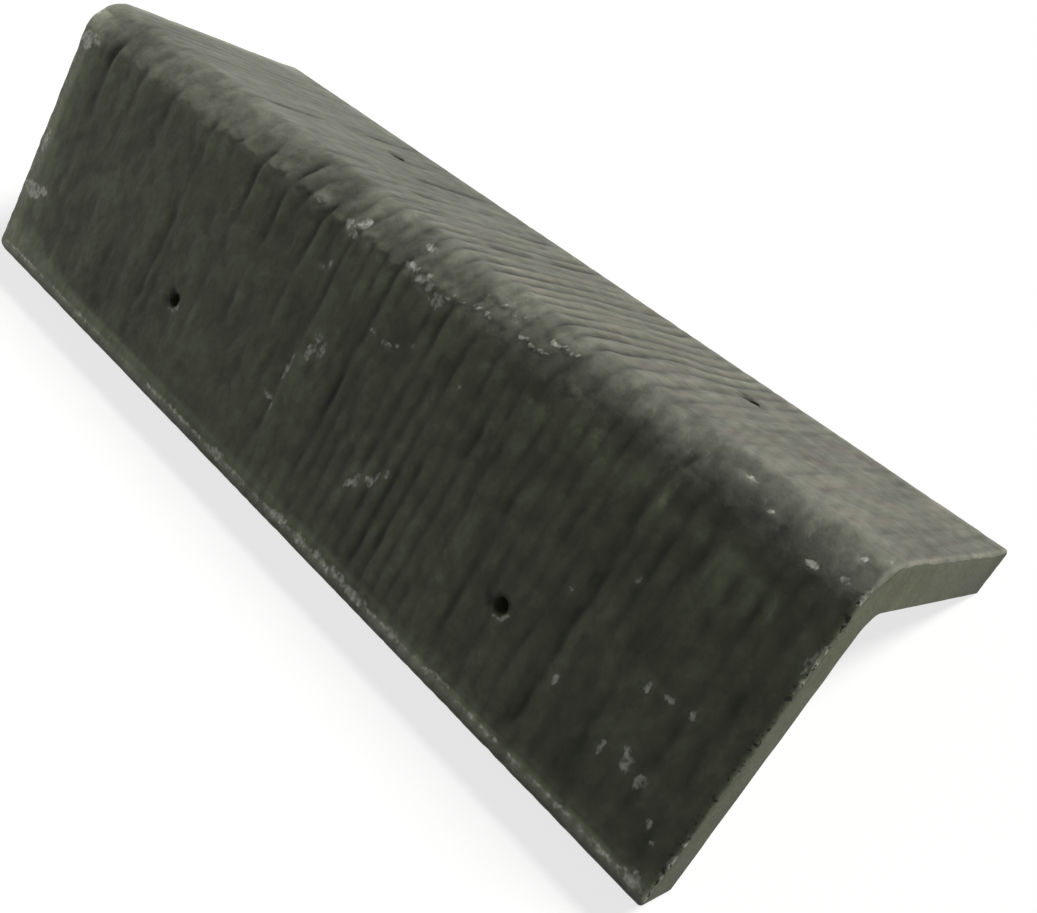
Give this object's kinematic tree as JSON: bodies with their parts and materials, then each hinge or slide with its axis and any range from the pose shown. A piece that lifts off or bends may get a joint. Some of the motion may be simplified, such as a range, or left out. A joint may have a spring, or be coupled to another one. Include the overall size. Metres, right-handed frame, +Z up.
{
  "type": "slate ridge tile",
  "caption": "Angle ridge tile with a riven slate face, its wings meeting at a rounded ridge and drilled for nails, to cap the top of a pitched roof.",
  "frame": {"origin": "middle of the tile's footprint, on the ground under the ridge", "axes": "+X along the ridge towards the near end in the picture, +Z up, the front wing on the -Y side"},
  "size_m": [0.45, 0.1926, 0.1027],
  "materials": {
    "slate": "matt riven slate, dark olive grey"
  },
  "bodies": {
    "root": {"ridge_tile": "slate"}
  },
  "joints": []
}
